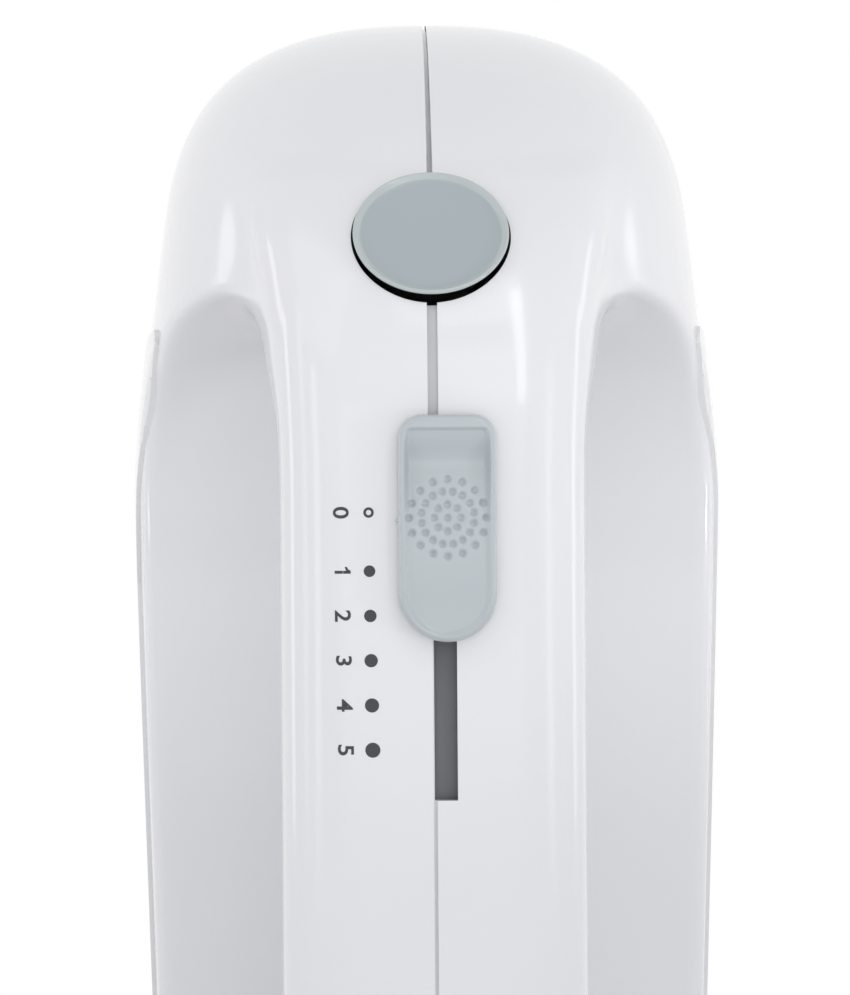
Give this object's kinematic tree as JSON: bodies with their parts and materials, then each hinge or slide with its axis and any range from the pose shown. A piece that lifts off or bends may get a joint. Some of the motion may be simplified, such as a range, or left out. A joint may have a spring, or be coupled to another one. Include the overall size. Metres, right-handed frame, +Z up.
{
  "type": "hand mixer",
  "caption": "Electric hand mixer on its heel: two-shell housing with a closed handle, sliding speed switch, round eject button, worm-driven twin beaters.",
  "frame": {"origin": "centre of the flat heel that the mixer stands on", "axes": "+Z up through the nose, -Y out of the handle's crown, +Y along the beaters, +X to the right seen from the handle's side"},
  "size_m": [0.0868, 0.2632, 0.1934],
  "materials": {
    "housing_white": "glossy moulded",
    "control_grey": "fine satin",
    "black_plastic": "satin",
    "gear_nylon": "waxy",
    "board": "laminated board",
    "core_steel": "laminated, varnished",
    "frame_metal": "die-cast",
    "steel": "ground",
    "chrome_steel": "polished",
    "copper": "enamelled copper",
    "bronze": "sintered",
    "carbon": "pressed carbon"
  },
  "bodies": {
    "housing": {"left_housing": "housing_white", "right_housing": "housing_white", "housing_screws": "steel", "cord_gland": "control_grey", "ejector_spring": "steel", "switch_base": "board", "switch_contacts": "copper", "stator_core": "core_steel", "left_field_coil": "copper", "right_field_coil": "copper", "front_bracket": "frame_metal", "rear_bracket": "frame_metal", "bracket_screws": "steel", "front_bearing": "bronze", "rear_bearing": "bronze", "left_brush": "carbon", "right_brush": "carbon", "brush_holders": "bronze", "noise_capacitor": "gear_nylon", "gear_frame": "frame_metal", "gear_cover": "frame_metal", "gear_screws": "steel", "spindle_bushes": "bronze", "nose_bearing": "bronze"},
    "rotor": {"motor_shaft": "steel", "armature_core": "core_steel", "armature_winding": "copper", "commutator": "copper", "cooling_fan": "black_plastic", "worm": "steel"},
    "left_drive": {"left_worm_gear": "gear_nylon", "left_spindle": "steel"},
    "right_drive": {"right_worm_gear": "gear_nylon", "right_spindle": "steel"},
    "left_beater": {"left_beater_stem": "chrome_steel", "left_beater_cage": "chrome_steel"},
    "right_beater": {"right_beater_stem": "chrome_steel", "right_beater_cage": "chrome_steel"},
    "button": {"eject_button": "control_grey"},
    "ejector": {"ejector_yoke": "black_plastic"},
    "slider": {"speed_slider": "control_grey", "slider_carriage": "control_grey", "contact_wiper": "bronze"}
  },
  "joints": [
    {"name": "motor_spin", "type": "hinge", "parent": "housing", "child": "rotor", "pos_m": [0, 0.024, 0.086], "axis": [0, 0, 1], "continuous": true},
    {"name": "left_gear_spin", "type": "hinge", "parent": "housing", "child": "left_drive", "pos_m": [-0.019, 0.024, 0.15], "axis": [0, 1, 0], "continuous": true},
    {"name": "right_gear_spin", "type": "hinge", "parent": "housing", "child": "right_drive", "pos_m": [0.019, 0.024, 0.15], "axis": [0, 1, 0], "continuous": true},
    {"name": "eject_push", "type": "slide", "parent": "housing", "child": "button", "axis": [0, 0.809, -0.5878], "range_m": [0, 0.006], "stiffness_N_per_m": 600, "springref_m": -0.004},
    {"name": "yoke_slide", "type": "slide", "parent": "housing", "child": "ejector", "axis": [0, 1, 0], "range_m": [0, 0.0049], "deforming": ["ejector_spring"]},
    {"name": "left_beater_slide", "type": "slide", "parent": "left_drive", "child": "left_beater", "axis": [0, 1, 0], "range_m": [0, 0.0049]},
    {"name": "right_beater_slide", "type": "slide", "parent": "right_drive", "child": "right_beater", "axis": [0, 1, 0], "range_m": [0, 0.0049]},
    {"name": "speed_slide", "type": "slide", "parent": "housing", "child": "slider", "axis": [0, 0, -1], "range_m": [0, 0.0306]}
  ],
  "couplings": [
    {"joint": "left_gear_spin", "follows": "motor_spin", "ratio": 0.066667},
    {"joint": "right_gear_spin", "follows": "motor_spin", "ratio": -0.066667},
    {"joint": "yoke_slide", "follows": "eject_push", "ratio": 0.80902},
    {"joint": "left_beater_slide", "follows": "eject_push", "ratio": 0.80902},
    {"joint": "right_beater_slide", "follows": "eject_push", "ratio": 0.80902}
  ]
}
